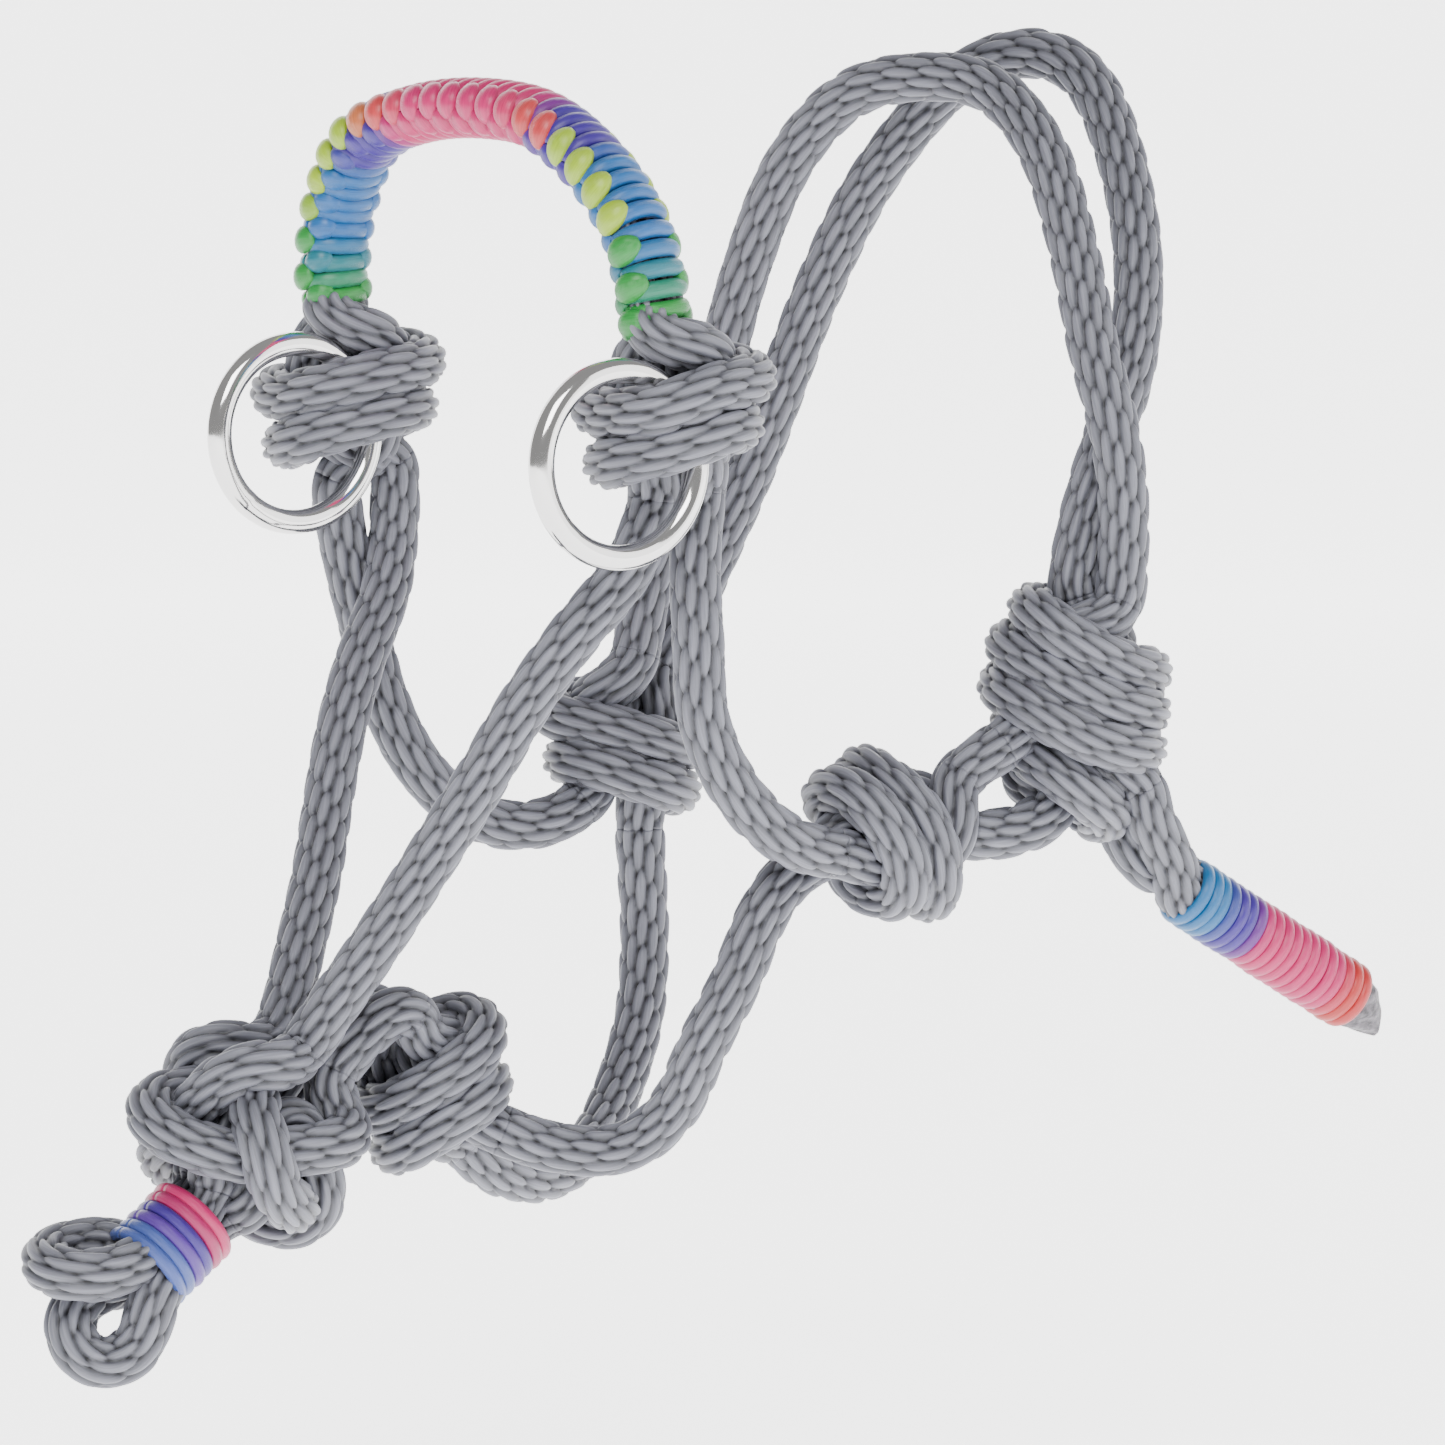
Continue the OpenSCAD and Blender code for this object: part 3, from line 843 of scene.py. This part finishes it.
def add_bump(nodes, links, shader, height, strength, distance):
    """Fine relief from a height socket. distance is in metres."""
    bump = nodes.new("ShaderNodeBump")
    bump.inputs["Strength"].default_value = strength
    bump.inputs["Distance"].default_value = distance
    links.new(height, bump.inputs["Height"])
    links.new(bump.outputs["Normal"], shader.inputs["Normal"])


def mixed(nodes, links, factor, a, b, blend="MIX"):
    """A Mix node for colours. Each of a and b is a colour or a socket."""
    mix = nodes.new("ShaderNodeMix")
    mix.data_type = "RGBA"
    mix.blend_type = blend
    for value, socket in ((factor, mix.inputs["Factor"]), (a, mix.inputs["A"]), (b, mix.inputs["B"])):
        if isinstance(value, bpy.types.NodeSocket):
            links.new(value, socket)
        else:
            socket.default_value = value
    return mix.outputs["Result"]


def ramp(nodes, links, source, stops):
    """A colour ramp over source, from stops of (position, colour)."""
    node = nodes.new("ShaderNodeValToRGB")
    links.new(source, node.inputs["Fac"])
    elements = node.color_ramp.elements
    elements[0].position, elements[1].position = stops[0][0], stops[-1][0]
    elements[0].color, elements[1].color = (*stops[0][1], 1), (*stops[-1][1], 1)
    for position, colour in stops[1:-1]:
        elements.new(position).color = (*colour, 1)
    return node.outputs["Color"]


def rope_material():
    """Grey multifilament rope with satin fibres: painted shade darkens it between the stitches, and painted
    light brightens the crowns of the stitches.
    """
    material, nodes, links, shader = new_material("halter_rope_skin", (0.3, 0.3, 0.33), 0.5)
    crown = linear(*ROPE_GREY)
    # Painted shade and painted light: the colour follows the stitch height, near black in the valleys
    # between stitches and brighter than the rope's grey on the stitch crowns
    height = ramp(nodes, links, attribute(nodes, "height").outputs["Fac"],
                  [(0.0, crown * 0.06), (0.4, crown * 0.4), (0.8, crown * 0.95), (1.0, crown * 1.25)])
    streaks = fibre_noise(nodes, links, 9.0, 1.3)
    tone = ramp(nodes, links, attribute(nodes, "tone").outputs["Fac"],
                [(0.0, (0.90,) * 3), (1.0, (1.06,) * 3)])
    streaked = ramp(nodes, links, streaks, [(0.3, (0.80,) * 3), (0.7, (1.14,) * 3)])
    colour = mixed(nodes, links, 1.0, height, tone, "MULTIPLY")
    colour = mixed(nodes, links, 1.0, colour, streaked, "MULTIPLY")
    links.new(colour, shader.inputs["Base Color"])
    add_bump(nodes, links, shader, streaks, 0.35, 0.00018)
    shader.inputs["Roughness"].default_value = 0.48
    shader.inputs["Sheen Weight"].default_value = 0.1
    shader.inputs["Sheen Roughness"].default_value = 0.4
    return material


def satin_material(name):
    """Satin cord: its dye comes from the mesh, with fine fibres along it."""
    material, nodes, links, shader = new_material(name, (0.8, 0.1, 0.3), 0.34)
    streaks = fibre_noise(nodes, links, 8.0, 1.5)
    streaked = ramp(nodes, links, streaks, [(0.3, (0.80,) * 3), (0.7, (1.12,) * 3)])
    colour = mixed(nodes, links, 1.0, attribute(nodes, "tint").outputs["Color"], streaked, "MULTIPLY")
    links.new(colour, shader.inputs["Base Color"])
    add_bump(nodes, links, shader, streaks, 0.4, 0.00015)
    shader.inputs["Sheen Weight"].default_value = 0.05
    return material


def steel_material():
    """Polished stainless wire with faint handling marks."""
    material, nodes, links, shader = new_material("ring_steel_polished", (0.70, 0.69, 0.68), 0.08, 1.0)
    coordinates = nodes.new("ShaderNodeTexCoord")
    noise = nodes.new("ShaderNodeTexNoise")
    noise.inputs["Scale"].default_value = 420
    noise.inputs["Detail"].default_value = 4
    links.new(coordinates.outputs["Object"], noise.inputs["Vector"])
    marks = nodes.new("ShaderNodeMapRange")
    marks.inputs["To Min"].default_value = 0.05
    marks.inputs["To Max"].default_value = 0.16
    links.new(noise.outputs["Fac"], marks.inputs["Value"])
    links.new(marks.outputs["Result"], shader.inputs["Roughness"])
    return material


def melted_material():
    """Rope fused by a flame: dark, glossy in places and lumpy."""
    material, nodes, links, shader = new_material("melted_rope_end", (0.05, 0.045, 0.05), 0.4)
    coordinates = nodes.new("ShaderNodeTexCoord")
    noise = nodes.new("ShaderNodeTexNoise")
    noise.inputs["Scale"].default_value = 900
    noise.inputs["Detail"].default_value = 5
    links.new(coordinates.outputs["Object"], noise.inputs["Vector"])
    colour = ramp(nodes, links, noise.outputs["Fac"],
                  [(0.35, linear(52, 48, 54)), (0.65, linear(104, 98, 106))])
    links.new(colour, shader.inputs["Base Color"])
    add_bump(nodes, links, shader, noise.outputs["Fac"], 0.8, 0.0006)
    return material


# ---- Camera, floor and light

def make_camera():
    """The photograph's view: from the near side and the front, almost level."""
    azimuth, elevation = math.radians(CAMERA_AZIMUTH), math.radians(CAMERA_ELEVATION)
    back = np.array([math.sin(azimuth) * math.cos(elevation), -math.cos(azimuth) * math.cos(elevation),
                     math.sin(elevation)])
    data = bpy.data.cameras.new("camera")
    data.sensor_width = 36
    data.lens = CAMERA_LENS
    camera = bpy.data.objects.new("camera", data)
    bpy.context.scene.collection.objects.link(camera)
    camera.location = (np.array(CAMERA_TARGET) + CAMERA_DISTANCE * back) * MM
    camera.rotation_euler = (math.pi / 2 - elevation, 0, azimuth)
    bpy.context.scene.camera = camera


def make_floor():
    """A pale floor that curves up into a backdrop far behind."""
    level = -232.0
    curve_at, curve_r = 2600, 900
    curve = [(curve_at + curve_r * math.sin(a), curve_r - curve_r * math.cos(a))
             for a in np.radians(np.arange(6, 91, 6))]
    profile = [(-3000, 0), (curve_at, 0)] + curve + [(3500, 4200)]
    across = np.linspace(-4200, 4200, 3)
    turn = math.radians(CAMERA_AZIMUTH)
    forward = np.array([-math.sin(turn), math.cos(turn), 0])
    right = np.array([math.cos(turn), math.sin(turn), 0])
    points = [forward * d + right * x + np.array([0, 0, level + h]) for d, h in profile for x in across]
    columns = len(across)
    faces = [(r * columns + c, r * columns + c + 1, (r + 1) * columns + c + 1, (r + 1) * columns + c)
             for r in range(len(profile) - 1) for c in range(columns - 1)]
    mesh = bpy.data.meshes.new("floor")
    mesh.from_pydata((np.array(points) * MM).tolist(), [], faces)
    mesh.shade_smooth()
    floor = bpy.data.objects.new("floor", mesh)
    bpy.context.scene.collection.objects.link(floor)
    material, _, _, shader = new_material("pale_floor", (0.9, 0.9, 0.9), 0.9)
    shader.inputs["Emission Color"].default_value = (1, 1, 1, 1)
    shader.inputs["Emission Strength"].default_value = FLOOR_GLOW
    mesh.materials.append(material)


def make_light(name, location, size, watts):
    """A square lamp aimed at the halter. location and size are in metres."""
    data = bpy.data.lights.new(name, "AREA")
    data.shape = "SQUARE"
    data.size = size
    data.energy = watts
    light = bpy.data.objects.new(name, data)
    bpy.context.scene.collection.objects.link(light)
    light.location = location
    aim = np.array([-0.06, 0, -0.1]) - np.array(location)
    tilt = math.acos(-aim[2] / np.linalg.norm(aim))
    light.rotation_euler = (tilt, 0, math.atan2(aim[1], aim[0]) - math.pi / 2)


def make_world():
    """White light from all around."""
    world = bpy.data.worlds.new("studio")
    bpy.context.scene.world = world
    world.use_nodes = True
    background = world.node_tree.nodes["Background"]
    background.inputs["Color"].default_value = (1, 1, 1, 1)
    background.inputs["Strength"].default_value = WORLD_STRENGTH


# ---- The scene

make_camera()
parts = tie_knots(run_parts())
rope, lines = make_rope(parts)

BODY_OF = {"tail_core": "tail", "lead_loop_upper": "lead_loop", "lead_loop_lower": "lead_loop"}
BLENDED = {
    "crown_tail_front": ("root", "tail", (-0.006, -0.044, -0.116), (-0.005, -0.044, -0.125)),
    "crown_tail_back": ("root", "tail", (-0.006, -0.044, -0.116), (-0.005, -0.044, -0.125)),
    "lead_loop_neck": ("root", "lead_loop", (-0.1536, 0, -0.1762), (-0.1576, 0, -0.1792)),
}
rope_skin = rope_material()
for piece_name, strands in rope.items():
    piece = make_tubes("rope_" + piece_name, [g for g, _, _, _ in strands],
                       {"height": [h for _, h, _, _ in strands], "tone": [t for _, _, t, _ in strands],
                        "fibre": [f for _, _, _, f in strands]})
    piece.data.materials.append(rope_skin)
    if piece_name in BLENDED:
        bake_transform(piece)
    else:
        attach(piece, BODY_OF.get(piece_name, "root"))
    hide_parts(piece_name)
    length = sum(lengths_along(line)[-1] for line in lines[piece_name]) * MM

satin = satin_material("satin_cord")
weave = make_weave()
weave.data.materials.append(satin)
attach(weave, "root")
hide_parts("noseband_weave")

whipping = satin_material("satin_whipping")
for piece_name, start, along, outer_d, length, stops, body in (
        ("tail_whipping", TAIL_START, TAIL_ALONG, TAIL_WHIPPING_D, TAIL_WHIPPING_L, TAIL_DYE, "tail"),
        ("lead_loop_whipping", LEAD_PIVOT, LEAD_ALONG, LEAD_WHIPPING_D, LEAD_WHIPPING_L, LEAD_DYE,
         "lead_loop")):
    piece = make_whipping(piece_name + "_cord", start, along, outer_d, length, stops)
    piece.data.materials.append(whipping)
    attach(piece, body)
    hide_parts(piece_name)

steel = steel_material()
for piece_name, at in (("near_ring", NEAR_RING_AT), ("far_ring", FAR_RING_AT)):
    piece = make_ring(piece_name + "_wire", at)
    piece.data.materials.append(steel)
    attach(piece, piece_name)
    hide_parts(piece_name)

tip = make_tip()
tip.data.materials.append(melted_material())
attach(tip, "tail")
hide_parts("tail_tip")

make_floor()
make_world()
make_light("key", (-1.3, -1.5, 1.5), 1.4, 60)
make_light("fill", (1.2, -1.4, 0.6), 1.6, 25)
